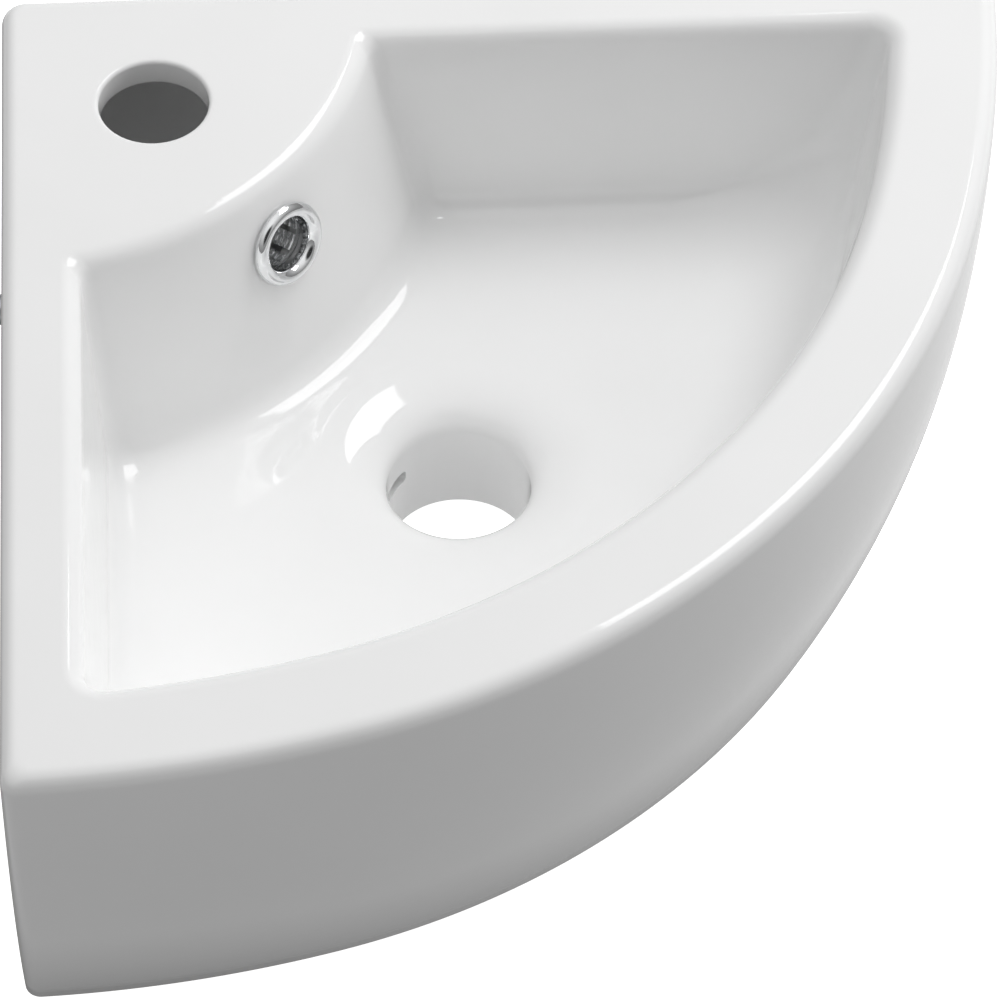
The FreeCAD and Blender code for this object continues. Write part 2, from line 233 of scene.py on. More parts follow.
def bowl_rings():
    """From the flat of the rim over the mouth, down the bowl, through the waste hole, and back up
    the boss and the underside of the bowl to the underside of the deck."""
    rings = [whole(bowl_half(0, BOWL_EDGE + FLAT_MARGIN), 0)]
    for depth in round_depths(BOWL_EDGE, 8):
        rings.append(whole(bowl_half(depth, quarter_round(BOWL_EDGE, depth)), -depth))
    bend = BOWL_DEPTH - FRONT_FALL[2]
    for n in range(1, 9):
        depth = BOWL_EDGE + (bend - BOWL_EDGE) * n / 8
        rings.append(whole(bowl_half(depth, 0), -depth))
    for n in range(1, 25):
        depth = bend + FRONT_FALL[2] * math.sin(math.pi / 2 * n / 24)
        rings.append(whole(bowl_half(depth, 0), -depth))
    edge = rings[-1]
    lip_height = -BOWL_DEPTH - FLOOR_FALL
    lip = circle(edge, WASTE, WASTE_RADIUS + FUNNEL_REACH, lip_height)
    for n in range(1, 8):
        share = n / 8
        ring = between(edge, lip, share)
        for p in ring:
            p.z = -BOWL_DEPTH - FLOOR_FALL * share**2
        rings.append(ring)
    for n in range(0, 25):
        turn = math.pi / 4 * (1 - math.cos(math.pi * n / 24))
        in_share = 1 - max(0.0, math.sin(turn))**(2 / FUNNEL_BEND)
        down_share = 1 - max(0.0, math.cos(turn))**(2 / FUNNEL_BEND)
        rings.append(circle(edge, WASTE, WASTE_RADIUS + FUNNEL_REACH * in_share,
                            lip_height - FUNNEL_FALL * down_share))
    for rise in reversed(round_depths(BOSS_EDGE, 4)):
        rings.append(circle(edge, WASTE, WASTE_RADIUS + quarter_round(BOSS_EDGE, rise),
                            rise - BOSS_BOTTOM))
    for rise in round_depths(BOSS_EDGE, 4):
        rings.append(circle(edge, WASTE, BOSS_RADIUS - quarter_round(BOSS_EDGE, rise),
                            rise - BOSS_BOTTOM))
    under = -BOWL_DEPTH - CLAY
    for n in range(0, 7):
        turn = math.pi / 2 * n / 6
        rings.append(circle(edge, WASTE, BOSS_RADIUS + BOSS_FILLET * (1 - math.cos(turn)),
                            under - BOSS_FILLET * (1 - math.sin(turn))))
    hub = rings[-1]
    skin_edge = whole(bowl_half(BOWL_DEPTH, CLAY), under)
    rings += [between(hub, skin_edge, n / 5) for n in range(1, 6)]
    for n in range(15, -1, -1):
        depth = bend + FRONT_FALL[2] * math.sin(math.pi / 2 * n / 16)
        rings.append(whole(bowl_half(depth, CLAY), -depth - CLAY))
    top = DECK + INNER_EDGE - CLAY
    for n in range(1, 7):
        depth = bend + (top - bend) * n / 6
        rings.append(whole(bowl_half(depth, CLAY), -depth - CLAY))
    for rise in round_depths(INNER_EDGE, 3)[-2::-1]:
        out = CLAY + quarter_round(INNER_EDGE, rise)
        rings.append(whole(bowl_half(DECK - CLAY + rise, out), -DECK - rise))
    rings.append(whole(bowl_half(DECK - CLAY, CLAY + INNER_EDGE + FLAT_MARGIN / 2), -DECK))
    return rings


TAP = Vector((0.0483, -0.0483))
TAP_RADIUS = 0.0175
TAP_EDGE = 0.0014


def tap_rings():
    """The tap hole, from the flat of the deck to its underside."""
    bearings = [2 * math.pi * n / 96 for n in range(96)]
    like = [TAP + Vector((math.cos(a), math.sin(a))) for a in bearings]
    rings = [circle(like, TAP, TAP_RADIUS + TAP_EDGE + FLAT_MARGIN, 0)]
    for depth in round_depths(TAP_EDGE, 6):
        rings.append(circle(like, TAP, TAP_RADIUS + quarter_round(TAP_EDGE, depth), -depth))
    for rise in reversed(round_depths(INNER_EDGE, 3)):
        rings.append(circle(like, TAP, TAP_RADIUS + quarter_round(INNER_EDGE, rise), rise - DECK))
    rings.append(circle(like, TAP, TAP_RADIUS + INNER_EDGE + FLAT_MARGIN / 2, -DECK))
    return rings


def skin(bm, rings):
    """Joins rings of as many points with quads, and returns the first and the last ring's edges."""
    rows = [[bm.verts.new(p) for p in ring] for ring in rings]
    for upper, lower in zip(rows, rows[1:]):
        for n in range(len(upper)):
            bm.faces.new((upper[n - 1], upper[n], lower[n], lower[n - 1]))
    return [[bm.edges.get((row[n - 1], row[n])) for n in range(len(row))]
            for row in (rows[0], rows[-1])]


def finished(bm, name, sharp=math.radians(38)):
    """Makes an object of a mesh, smooth but for its sharp edges, with faces outwards."""
    bmesh.ops.recalc_face_normals(bm, faces=bm.faces)
    for face in bm.faces:
        face.smooth = True
    for edge in bm.edges:
        edge.smooth = len(edge.link_faces) == 2 and edge.calc_face_angle() < sharp
    mesh = bpy.data.meshes.new(name)
    bm.to_mesh(mesh)
    bm.free()
    piece = bpy.data.objects.new(name, mesh)
    bpy.context.scene.collection.objects.link(piece)
    return piece


def cast_basin():
    bm = bmesh.new()
    tops, bottoms = [], []
    for rings in (outside_rings(), bowl_rings(), tap_rings()):
        first, last = skin(bm, rings)
        tops += first
        bottoms += last
    for edges, normal in ((tops, (0, 0, 1)), (bottoms, (0, 0, -1))):
        bmesh.ops.triangle_fill(bm, use_beauty=True, edges=edges, normal=normal)
    return finished(bm, "basin")


# The overflow's hidden way: behind the platform's wall and under the floor to the waste hole.
# Its casing is a rib on the underside, cast with the bowl.
OVERFLOW_DEPTH = 0.0245
OVERFLOW_HOLE = 0.011
DUCT_FRONT, DUCT_BACK = 0.0095, 0.0185
DUCT_WIDTH = 0.028
DUCT_TOP, DUCT_ROOF, DUCT_FLOOR = 0.012, 0.089, 0.100
DUCT_CLAY = 0.007
DUCT_EDGE, CASING_EDGE = 0.0035, 0.002
DUCT_END = 0.027              # the level run stops this far from the waste hole's centre
OUTLET_TURN = math.radians(15)
OUTLET_WIDTH, OUTLET_HEIGHT, OUTLET_EDGE = 0.012, 0.005, 0.0018
OUTLET_OVERLAP = 0.005, 0.003           # how far the slot runs into the waste hole and the duct
FIXING_PLACE, FIXING_DEPTH, FIXING_HOLE = 0.085, 0.055, 0.009
# how far the bars that cut the round holes reach behind a wall's face and in front of it
OVERFLOW_CUT = 0.014, 0.008
FIXING_CUT = 0.005, 0.015
DISTANCE_TO_WASTE = WASTE.length


def behind_platform(distance, height):
    """A point in the diagonal plane, this far behind the platform's leaning wall."""
    return PLATFORM - PLATFORM_FALL[0] * height - distance, height


def rib(name, profile, width, edge, origin=Vector((0, 0)), along=DIAGONAL):
    """A bar with rounded edges, from its profile in the upright plane through origin and along."""
    bm = bmesh.new()
    faces = []
    for side in (-0.5, 0.5):
        foot = origin + Vector((along.y, -along.x)) * width * side
        faces.append([bm.verts.new((foot.x + r * along.x, foot.y + r * along.y, z))
                      for r, z in profile])
    bm.faces.new(faces[0])
    bm.faces.new(reversed(faces[1]))
    for n in range(len(profile)):
        bm.faces.new((faces[0][n - 1], faces[0][n], faces[1][n], faces[1][n - 1]))
    bmesh.ops.bevel(bm, geom=bm.edges[:], offset=edge, segments=4, profile=0.5, affect="EDGES")
    return finished(bm, name)


def plug(name, centre, axis, radius, back, front):
    """A round bar along an axis, to cut a hole with."""
    bm = bmesh.new()
    place = Matrix.Translation(centre) @ axis.to_track_quat("Z", "Y").to_matrix().to_4x4()
    place = place @ Matrix.Translation((0, 0, (front - back) / 2))
    bmesh.ops.create_cone(bm, cap_ends=True, segments=64, radius1=radius, radius2=radius,
                          depth=front + back, matrix=place)
    return finished(bm, name)


def overflow_place():
    """Where the overflow hole leaves the platform's wall, and the direction square to it."""
    reach, height = behind_platform(0, -OVERFLOW_DEPTH)
    tilt = math.atan(PLATFORM_FALL[0])
    out = Vector((DIAGONAL.x * math.cos(tilt), DIAGONAL.y * math.cos(tilt), math.sin(tilt)))
    return Vector((DIAGONAL.x * reach, DIAGONAL.y * reach, height)), out


def duct_cutters():
    end = DISTANCE_TO_WASTE - DUCT_END
    back = DUCT_BACK + DUCT_CLAY
    low = -DUCT_FLOOR - DUCT_CLAY
    in_floor = -BOWL_DEPTH - CLAY / 2
    casing = rib("duct_casing", [
        behind_platform(CLAY / 2, -DECK / 2), behind_platform(CLAY / 2, in_floor),
        (end, in_floor), (end, low), behind_platform(back, low),
        behind_platform(back, -DECK / 2)], DUCT_WIDTH + 2 * DUCT_CLAY, CASING_EDGE)
    hollow = rib("duct_hollow", [
        behind_platform(DUCT_FRONT, -DUCT_TOP), behind_platform(DUCT_FRONT, -DUCT_ROOF),
        (end, -DUCT_ROOF), (end, -DUCT_FLOOR),
        behind_platform(DUCT_BACK, -DUCT_FLOOR), behind_platform(DUCT_BACK, -DUCT_TOP)],
        DUCT_WIDTH, DUCT_EDGE)
    near, far = WASTE_RADIUS - OUTLET_OVERLAP[0], DUCT_END + OUTLET_OVERLAP[1]
    roof = OUTLET_HEIGHT - DUCT_FLOOR
    turn = math.radians(135) + OUTLET_TURN
    slot = [(near, -DUCT_FLOOR), (far, -DUCT_FLOOR), (far, roof), (near, roof)]
    outlet = rib("duct_outlet", slot, OUTLET_WIDTH, OUTLET_EDGE, WASTE,
                 Vector((math.cos(turn), math.sin(turn))))
    centre, out = overflow_place()
    overflow = plug("overflow_hole", centre, out, OVERFLOW_HOLE, *OVERFLOW_CUT)
    fixings = [plug(name, Vector(place), Vector(inwards), FIXING_HOLE, *FIXING_CUT)
               for name, place, inwards in (
                   ("left_fixing_hole", (0, -FIXING_PLACE, -FIXING_DEPTH), (1, 0, 0)),
                   ("back_fixing_hole", (FIXING_PLACE, 0, -FIXING_DEPTH), (0, -1, 0)))]
    return casing, [hollow, outlet, overflow] + fixings


def drop(piece):
    mesh = piece.data
    bpy.data.objects.remove(piece)
    bpy.data.meshes.remove(mesh)


def joined_and_cut(body, added, cutters):
    """The body with one piece joined on and the others cut out of it."""
    for other, work in [(added, "UNION")] + [(cutter, "DIFFERENCE") for cutter in cutters]:
        tool = body.modifiers.new(other.name, "BOOLEAN")
        tool.operation = work
        tool.solver = "EXACT"
        tool.object = other
    bpy.context.view_layer.update()
    seen = body.evaluated_get(bpy.context.evaluated_depsgraph_get())
    bm = bmesh.new()
    bm.from_mesh(bpy.data.meshes.new_from_object(seen))
    for other in [body, added] + cutters:
        drop(other)
    bmesh.ops.remove_doubles(bm, verts=bm.verts, dist=1e-6)
    bmesh.ops.dissolve_degenerate(bm, dist=1e-6, edges=bm.edges)
    return bm


basin = cast_basin()
casing, cutters = duct_cutters()
basin = finished(joined_and_cut(basin, casing, cutters), "basin")


def new_material(name):
    material = bpy.data.materials.new(name)
    material.use_nodes = True
    tree = material.node_tree
    return material, tree, tree.nodes["Principled BSDF"]


def node(tree, kind, values=(), **settings):
    """A node with its settings and with values or links for its input sockets."""
    made = tree.nodes.new(kind)
    for name, value in settings.items():
        setattr(made, name, value)
    for socket, value in dict(values).items():
        if isinstance(value, bpy.types.NodeSocket):
            tree.links.new(value, made.inputs[socket])
        else:
            made.inputs[socket].default_value = value
    return made


def reckoned(tree, operation, first, second):
    """The output of a sum on two numbers or sockets."""
    return node(tree, "ShaderNodeMath", {0: first, 1: second}, operation=operation).outputs[0]


def mixed(tree, share, low, high, kind="RGBA"):
    """The output of a mix of two colours or numbers."""
    mix = node(tree, "ShaderNodeMix", {"Factor": share, "A": low, "B": high}, data_type=kind)
    return mix.outputs["Result"]


def mottle_group():
    """Soft cloudy noise in the piece's own coordinates, which every finish here is mixed with."""
    tree = bpy.data.node_groups.new("mottle", "ShaderNodeTree")
    for label, value in (("Scale", 100.0), ("Detail", 3.0), ("Low", 0.0), ("High", 1.0)):
        socket = tree.interface.new_socket(label, in_out="INPUT", socket_type="NodeSocketFloat")
        socket.default_value = value
    tree.interface.new_socket("Value", in_out="OUTPUT", socket_type="NodeSocketFloat")
    start, end = tree.nodes.new("NodeGroupInput"), tree.nodes.new("NodeGroupOutput")
    place = node(tree, "ShaderNodeTexCoord").outputs["Object"]
    noise = node(tree, "ShaderNodeTexNoise", {
        "Vector": place, "Scale": start.outputs["Scale"], "Detail": start.outputs["Detail"],
        "Roughness": 0.5})
    spread = node(tree, "ShaderNodeMapRange", {
        "Value": noise.outputs["Fac"], "From Min": 0.32, "From Max": 0.68,
        "To Min": start.outputs["Low"], "To Max": start.outputs["High"]})
    tree.links.new(spread.outputs[0], end.inputs["Value"])
    return tree


MOTTLE = mottle_group()


def mottle(tree, scale, detail=3.0, low=0.0, high=1.0):
    made = node(tree, "ShaderNodeGroup", node_tree=MOTTLE)
    for label, value in (("Scale", scale), ("Detail", detail), ("Low", low), ("High", high)):
        made.inputs[label].default_value = value
    return made.outputs["Value"]


GLAZE_COLOURS = (0.945, 0.947, 0.945, 1), (0.965, 0.966, 0.966, 1)
CLAY_COLOURS = (0.66, 0.63, 0.58, 1), (0.78, 0.76, 0.71, 1)
GLAZE_GLOSS = 0.035, 0.065    # roughness of the glaze, from place to place
CLAY_ROUGHNESS = 0.62
WALL_FACE_REACH = 0.0002      # clay this close to the wall planes is ground bare
FOOT_REACH = 0.0008           # and so is clay this close to the bottom of the foot


def glaze_material():
    """White gloss glaze: a faint unevenness where it ran, and bare ground clay where the foot and
    the two back faces were wiped before firing."""
    material, tree, shader = new_material("white_glaze")
    place = node(tree, "ShaderNodeTexCoord").outputs["Object"]
    ran = mottle(tree, 14.0)
    peel = mottle(tree, 160.0, 2.0)
    grit = mottle(tree, 2600.0, 4.0)

    xyz = node(tree, "ShaderNodeSeparateXYZ", {"Vector": place})
    behind_left = reckoned(tree, "LESS_THAN", xyz.outputs["X"], WALL_FACE_REACH)
    behind_back = reckoned(tree, "GREATER_THAN", xyz.outputs["Y"], -WALL_FACE_REACH)
    foot = reckoned(tree, "LESS_THAN", xyz.outputs["Z"], FOOT_REACH - HEIGHT)
    bare = reckoned(tree, "MAXIMUM", reckoned(tree, "MAXIMUM", behind_left, behind_back), foot)

    glazed = mixed(tree, ran, *GLAZE_COLOURS)
    clay = mixed(tree, grit, *CLAY_COLOURS)
    colour = mixed(tree, bare, glazed, clay)
    dull = mixed(tree, bare, mottle(tree, 160.0, 2.0, *GLAZE_GLOSS), CLAY_ROUGHNESS, "FLOAT")
    surface = reckoned(tree, "ADD", reckoned(tree, "MULTIPLY", ran, 3.0), peel)
    bump = node(tree, "ShaderNodeBump", {"Strength": 0.10, "Distance": 0.0001,
                                         "Height": mixed(tree, bare, surface, grit, "FLOAT")})
    tree.links.new(colour, shader.inputs["Base Color"])
    tree.links.new(dull, shader.inputs["Roughness"])
    tree.links.new(bump.outputs["Normal"], shader.inputs["Normal"])
    shader.inputs["IOR"].default_value = 1.52
    return material


basin.data.materials.append(glaze_material())
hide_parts("basin_body")
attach(basin, "basin")

# ---------------------------------------------------------------- the overflow ring
# A chromed brass ring that is pushed into the overflow hole: a rolled bead, a dished face down to
# the throat, and a sleeve slit into spring fingers that grip the hole.
RING_RADIUS = 0.014
RING_THROAT = 0.0085
RING_SLEEVE = 0.0107
RING_SKIN = 0.0012
RING_LENGTH = 0.014
RING_COLLAR = 0.005
RING_FINGERS = 8
RING_SLIT = 0.0022
RING_SEAT = 0.0001
RIDGE_DEPTH = 0.0005
RIDGE_PITCH = 0.0022


def lathe(bm, profile, segments=96):
    """Turns a closed profile of radius and height round the Z axis."""
    turns = [2 * math.pi * n / segments for n in range(segments)]
    rings = [[Vector((r * math.cos(a), r * math.sin(a), z)) for a in turns] for r, z in profile]
    skin(bm, rings + [rings[0]])
    bmesh.ops.remove_doubles(bm, verts=bm.verts, dist=1e-7)


def curve_through(points, steps=8):
    """A smooth line through points, with steps between each two."""
    line = []
    for n in range(len(points) - 1):
        near = [max(0, min(len(points) - 1, n + k)) for k in (-1, 0, 1, 2)]
        p0, p1, p2, p3 = (Vector(points[k]) for k in near)
        for step in range(steps):
            t = step / steps
            line.append(0.5 * (2 * p1 + (p2 - p0) * t + (2 * p0 - 5 * p1 + 4 * p2 - p3) * t**2
                               + (3 * p1 - p0 - 3 * p2 + p3) * t**3))
    return [tuple(p) for p in line] + [tuple(points[-1])]


def ring_face():
    """The bead, the dished face, the throat and the unslit part of the sleeve."""
    face = curve_through([
        (0.0135, 0.0), (0.0139, 0.0003), (RING_RADIUS, 0.0010), (0.0138, 0.0018),
        (0.0132, 0.0027), (0.0123, 0.0033), (0.0113, 0.0034), (0.0103, 0.0030),
        (0.0095, 0.0023), (0.0089, 0.0014), (0.0086, 0.0004), (RING_THROAT, -0.0008)])
    inner = RING_SLEEVE - RING_SKIN
    profile = face + [(RING_THROAT, -0.0024), (RING_THROAT + 0.0004, -0.0031), (inner, -0.0040),
                      (inner, -RING_COLLAR), (RING_SLEEVE, -RING_COLLAR), (RING_SLEEVE, -0.0002),
                      (RING_SLEEVE + 0.0002, 0.0)]
    bm = bmesh.new()
    lathe(bm, profile)
    return finished(bm, "ring_face")


def finger():
    """One spring finger: a strip of the sleeve, rolled into ridges that grip the hole."""
    spread = math.pi / RING_FINGERS - RING_SLIT / 2 / RING_SLEEVE
    stations = []
    for n in range(29):
        z = -RING_COLLAR + 0.0002 - (RING_LENGTH - RING_COLLAR - 0.0002) * n / 28
        stations.append((z, -RIDGE_DEPTH * math.sin(math.pi * (z + RING_COLLAR) / RIDGE_PITCH)**2))
    bm = bmesh.new()
    grid = []
    for z, bend in stations:
        for radius in (RING_SLEEVE + bend - RING_SKIN, RING_SLEEVE + bend):
            turns = [spread * (n / 4 - 1) for n in range(9)]
            grid.append([bm.verts.new((radius * math.cos(a), radius * math.sin(a), z))
                         for a in turns])
    inner, outer = grid[0::2], grid[1::2]
    for rows in (inner, outer):
        for low, high in zip(rows, rows[1:]):
            for n in range(8):
                bm.faces.new((low[n], low[n + 1], high[n + 1], high[n]))
    for n in range(8):
        for k in (0, -1):
            bm.faces.new((inner[k][n], inner[k][n + 1], outer[k][n + 1], outer[k][n]))
    for k in range(len(stations) - 1):
        for n in (0, -1):
            bm.faces.new((inner[k][n], inner[k + 1][n], outer[k + 1][n], outer[k][n]))
    return finished(bm, "finger")


def tree_with(name, inputs):
    """An empty node tree for geometry with a mesh in, a mesh out and named inputs."""
    tree = bpy.data.node_groups.new(name, "GeometryNodeTree")
    tree.interface.new_socket("Geometry", in_out="INPUT", socket_type="NodeSocketGeometry")
    sockets = {label: tree.interface.new_socket(label, in_out="INPUT", socket_type=kind)
               for label, kind in inputs.items()}
    tree.interface.new_socket("Geometry", in_out="OUTPUT", socket_type="NodeSocketGeometry")
    return tree, sockets, tree.nodes.new("NodeGroupInput"), tree.nodes.new("NodeGroupOutput")


def ended(tree, last, start, end):
    """Ends a tree: what its last node gives is made real and gets its finish."""
    real = node(tree, "GeometryNodeRealizeInstances", {"Geometry": last.outputs[0]})
    done = node(tree, "GeometryNodeSetMaterial", {
        "Geometry": real.outputs[0], "Material": start.outputs["Finish"]})
    tree.links.new(done.outputs[0], end.inputs["Geometry"])
    return tree


def applied(piece, tree, sockets, values):
    """The mesh that a tree makes of a piece, as plain mesh; the modifier goes."""
    tool = piece.modifiers.new(tree.name, "NODES")
    tool.node_group = tree
    for label, value in values.items():
        tool[sockets[label].identifier] = value
    bpy.context.view_layer.update()
    seen = piece.evaluated_get(bpy.context.evaluated_depsgraph_get())
    mesh = bpy.data.meshes.new_from_object(seen)
    piece.modifiers.remove(tool)
    return mesh


def round_the_axis_tree():
    """Stands copies of a piece round the Z axis."""
    tree, sockets, start, end = tree_with("round_the_axis", {
        "Count": "NodeSocketInt", "Finish": "NodeSocketMaterial"})
    points = node(tree, "GeometryNodePoints", {"Count": start.outputs["Count"]})
    index = node(tree, "GeometryNodeInputIndex")
    share = reckoned(tree, "DIVIDE", index.outputs[0], start.outputs["Count"])
    turn = reckoned(tree, "MULTIPLY", share, 2 * math.pi)
    angle = node(tree, "ShaderNodeCombineXYZ", {"Z": turn})
    copies = node(tree, "GeometryNodeInstanceOnPoints", {
        "Points": points.outputs[0], "Instance": start.outputs["Geometry"],
        "Rotation": angle.outputs[0]})
    return ended(tree, copies, start, end), sockets


def chrome_material():
    """Bright chrome plate with the faint clouding that water and wiping leave."""
    material, tree, shader = new_material("bright_chrome")
    cloud = mottle(tree, 220.0, 4.0)
    gloss = mottle(tree, 220.0, 4.0, 0.03, 0.11)
    plate = mixed(tree, cloud, (0.80, 0.81, 0.82, 1), (0.88, 0.885, 0.89, 1))
    bump = node(tree, "ShaderNodeBump", {"Strength": 0.15, "Distance": 0.00003, "Height": cloud})
    tree.links.new(plate, shader.inputs["Base Color"])
    tree.links.new(gloss, shader.inputs["Roughness"])
    tree.links.new(bump.outputs["Normal"], shader.inputs["Normal"])
    shader.inputs["Metallic"].default_value = 1.0
    return material


def placed(meshes, name, place):
    """One object of several meshes, moved to its place in the mesh itself."""
    bm = bmesh.new()
    for mesh in meshes:
        bm.from_mesh(mesh)
    bm.transform(place)
    return finished(bm, name)


chrome = chrome_material()
face, one_finger = ring_face(), finger()
round_tree, round_sockets = round_the_axis_tree()
fingers = applied(one_finger, round_tree, round_sockets, {"Count": RING_FINGERS, "Finish": chrome})
centre, out = overflow_place()
along_hole = out.to_track_quat("Z", "Y").to_matrix().to_4x4()
place = Matrix.Translation(centre + out * RING_SEAT) @ along_hole
ring = placed([face.data, fingers], "ring", place)
drop(face)
drop(one_finger)
ring.data.materials.clear()
ring.data.materials.append(chrome)
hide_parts("overflow_ring")
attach(ring, "overflow_ring")

# ---------------------------------------------------------------- the wall fixings
# One on each wall: a zinc-plated hanger bolt screwed into the wall, and on it, inside the basin, a
# white moulded bush that keeps the steel off the clay, a washer and a hexagon nut.
BUSH_SLEEVE, BUSH_BORE = 0.0089, 0.0052
BUSH_FLANGE, BUSH_FLANGE_THICK = 0.013, 0.003
WASHER_RADIUS, WASHER_THICK = 0.0105, 0.002
NUT_ACROSS, NUT_THICK = 0.017, 0.008
NUT_FACE = 0.0081             # radius of the nut's flat face, inside its chamfer
NUT_PLAY, NUT_LEAD = 0.0001, 0.0006     # play on the bolt, and the chamfer of its bore
THREAD_CREST = 0.00495
THREAD_LENGTH, THREAD_PITCH, THREAD_CUT = 0.032, 0.0015, 0.0009
SCREW_LENGTH, SCREW_PITCH, SCREW_CUT = 0.060, 0.0036, 0.0014
SCREW_CREST = 0.005
SCREW_TIP, SCREW_POINT = 0.008, 0.0006
BOLT_SHANK, BOLT_CHAMFER = 0.003, 0.0006
SCREW_START, THREAD_START = 0.0004, 0.0005      # plain length before each of the two threads
SOFT_EDGE = 0.0004


def rounded(profile, edge, steps=3):
    """A closed profile with its corners rounded."""
    smooth = []
    for n in range(len(profile)):
        here, before, after = (Vector(profile[k % len(profile)]) for k in (n, n - 1, n + 1))
        first = here + (before - here).normalized() * edge
        last = here + (after - here).normalized() * edge
        for step in range(steps + 1):
            t = step / steps
            smooth.append(tuple(first * (1 - t)**2 + here * 2 * t * (1 - t) + last * t**2))
    return smooth


def turned(name, profile, segments=72):
    bm = bmesh.new()
    lathe(bm, profile, segments)
    return finished(bm, name)


def bush():
    thick = CLAY + BUSH_FLANGE_THICK
    return turned("bush", rounded([
        (BUSH_BORE, 0), (BUSH_SLEEVE, 0), (BUSH_SLEEVE, CLAY), (BUSH_FLANGE, CLAY),
        (BUSH_FLANGE, thick), (BUSH_BORE, thick)], SOFT_EDGE))


def washer():
    return turned("washer", rounded([
        (BUSH_BORE, 0), (WASHER_RADIUS, 0), (WASHER_RADIUS, WASHER_THICK),
        (BUSH_BORE, WASHER_THICK)], SOFT_EDGE))


def nut():
    """A hexagon chamfered on both faces, where each chamfer cuts a curve into every flat."""
    bore, lead = THREAD_CREST + NUT_PLAY, NUT_LEAD
    slope = math.tan(math.radians(30))
    rings = [[] for _ in range(9)]
    for n in range(144):
        turn = 2 * math.pi * n / 144
        flat = NUT_ACROSS / 2 / math.cos((turn % (math.pi / 3)) - math.pi / 6)
        fall = max(0.0, flat - NUT_FACE) * slope
        stations = [(bore, lead), (bore + lead, 0), (NUT_FACE, 0), (flat, fall),
                    (flat, NUT_THICK - fall), (NUT_FACE, NUT_THICK), (bore + lead, NUT_THICK),
                    (bore, NUT_THICK - lead), (bore, lead)]
        for ring, (radius, z) in zip(rings, stations):
            ring.append(Vector((radius * math.cos(turn), radius * math.sin(turn), z)))
    bm = bmesh.new()
    skin(bm, rings)
    bmesh.ops.remove_doubles(bm, verts=bm.verts, dist=1e-7)
    return finished(bm, "nut", math.radians(25))


def bar(name, profile, segments=36):
    """A solid bar along Z from its outline, closed at both ends."""
    turns = [2 * math.pi * n / segments for n in range(segments)]
    bm = bmesh.new()
    skin(bm, [[Vector((r * math.cos(a), r * math.sin(a), z)) for a in turns] for r, z in profile])
    for rim in ([v for v in bm.verts if abs(v.co.z - profile[0][1]) < 1e-7],
                [v for v in bm.verts if abs(v.co.z - profile[-1][1]) < 1e-7]):
        bm.faces.new(rim)
    return finished(bm, name, math.radians(80))


def thread_tree():
    """Cuts a screw thread into a bar along Z: its points move in where the notch climbs past."""
    tree, sockets, start, end = tree_with("screw_thread", {
        "Start": "NodeSocketFloat", "End": "NodeSocketFloat", "Pitch": "NodeSocketFloat",
        "Cut": "NodeSocketFloat", "Finish": "NodeSocketMaterial"})

    def work(operation, first, second):
        return reckoned(tree, operation, first, second)

    position = node(tree, "GeometryNodeInputPosition").outputs[0]
    xyz = node(tree, "ShaderNodeSeparateXYZ", {"Vector": position})
    height = xyz.outputs["Z"]
    turn = work("DIVIDE", work("ARCTAN2", xyz.outputs["Y"], xyz.outputs["X"]), 2 * math.pi)
    climb = work("SUBTRACT", work("DIVIDE", height, start.outputs["Pitch"]), turn)
    notch = work("MULTIPLY", work("PINGPONG", climb, 0.5), 2.0)
    entry = work("DIVIDE", work("SUBTRACT", height, start.outputs["Start"]), start.outputs["Pitch"])
    leave = work("DIVIDE", work("SUBTRACT", start.outputs["End"], height), start.outputs["Pitch"])
    inside = work("MINIMUM", work("MAXIMUM", work("MINIMUM", entry, leave), 0.0), 1.0)
    depth = work("MULTIPLY", work("MULTIPLY", notch, inside), start.outputs["Cut"])
    flat = node(tree, "ShaderNodeCombineXYZ", {"X": xyz.outputs["X"], "Y": xyz.outputs["Y"]})
    inwards = node(tree, "ShaderNodeVectorMath", {0: flat.outputs[0]}, operation="NORMALIZE")
    shift = node(tree, "ShaderNodeVectorMath", {0: inwards.outputs[0]}, operation="SCALE")
    tree.links.new(work("MULTIPLY", depth, -1.0), shift.inputs["Scale"])
    moved = node(tree, "GeometryNodeSetPosition", {
        "Geometry": start.outputs["Geometry"], "Offset": shift.outputs[0]})
    return ended(tree, moved, start, end), sockets


def hanger_bolt(tree, sockets, finish):
    """The bolt: coarse screw end with a gimlet point, short plain shank, fine threaded end."""
    straight_screw, straight_thread = SCREW_LENGTH - SCREW_TIP, THREAD_LENGTH - BOLT_CHAMFER
    top = SCREW_LENGTH + THREAD_LENGTH
    screw = [(SCREW_POINT + (SCREW_CREST - SCREW_POINT) * n / 20, SCREW_TIP * n / 20)
             for n in range(21)]
    count = int(straight_screw / (SCREW_PITCH / 10))
    screw += [(SCREW_CREST, SCREW_TIP + straight_screw * n / count) for n in range(1, count)]
    coarse = bar("screw_end", screw + [(SCREW_CREST, SCREW_LENGTH)])
    count = int(straight_thread / (THREAD_PITCH / 8))
    thread = [(THREAD_CREST, SCREW_LENGTH + straight_thread * n / count) for n in range(count + 1)]
    fine = bar("thread_end", thread + [(THREAD_CREST - BOLT_CHAMFER, top)])
    meshes = [
        applied(coarse, tree, sockets, {
            "Start": SCREW_START, "End": SCREW_LENGTH - BOLT_SHANK, "Pitch": SCREW_PITCH,
            "Cut": SCREW_CUT, "Finish": finish}),
        applied(fine, tree, sockets, {
            "Start": SCREW_LENGTH + THREAD_START, "End": top + THREAD_PITCH,
            "Pitch": THREAD_PITCH, "Cut": THREAD_CUT, "Finish": finish})]
    drop(coarse)
    drop(fine)
    return meshes


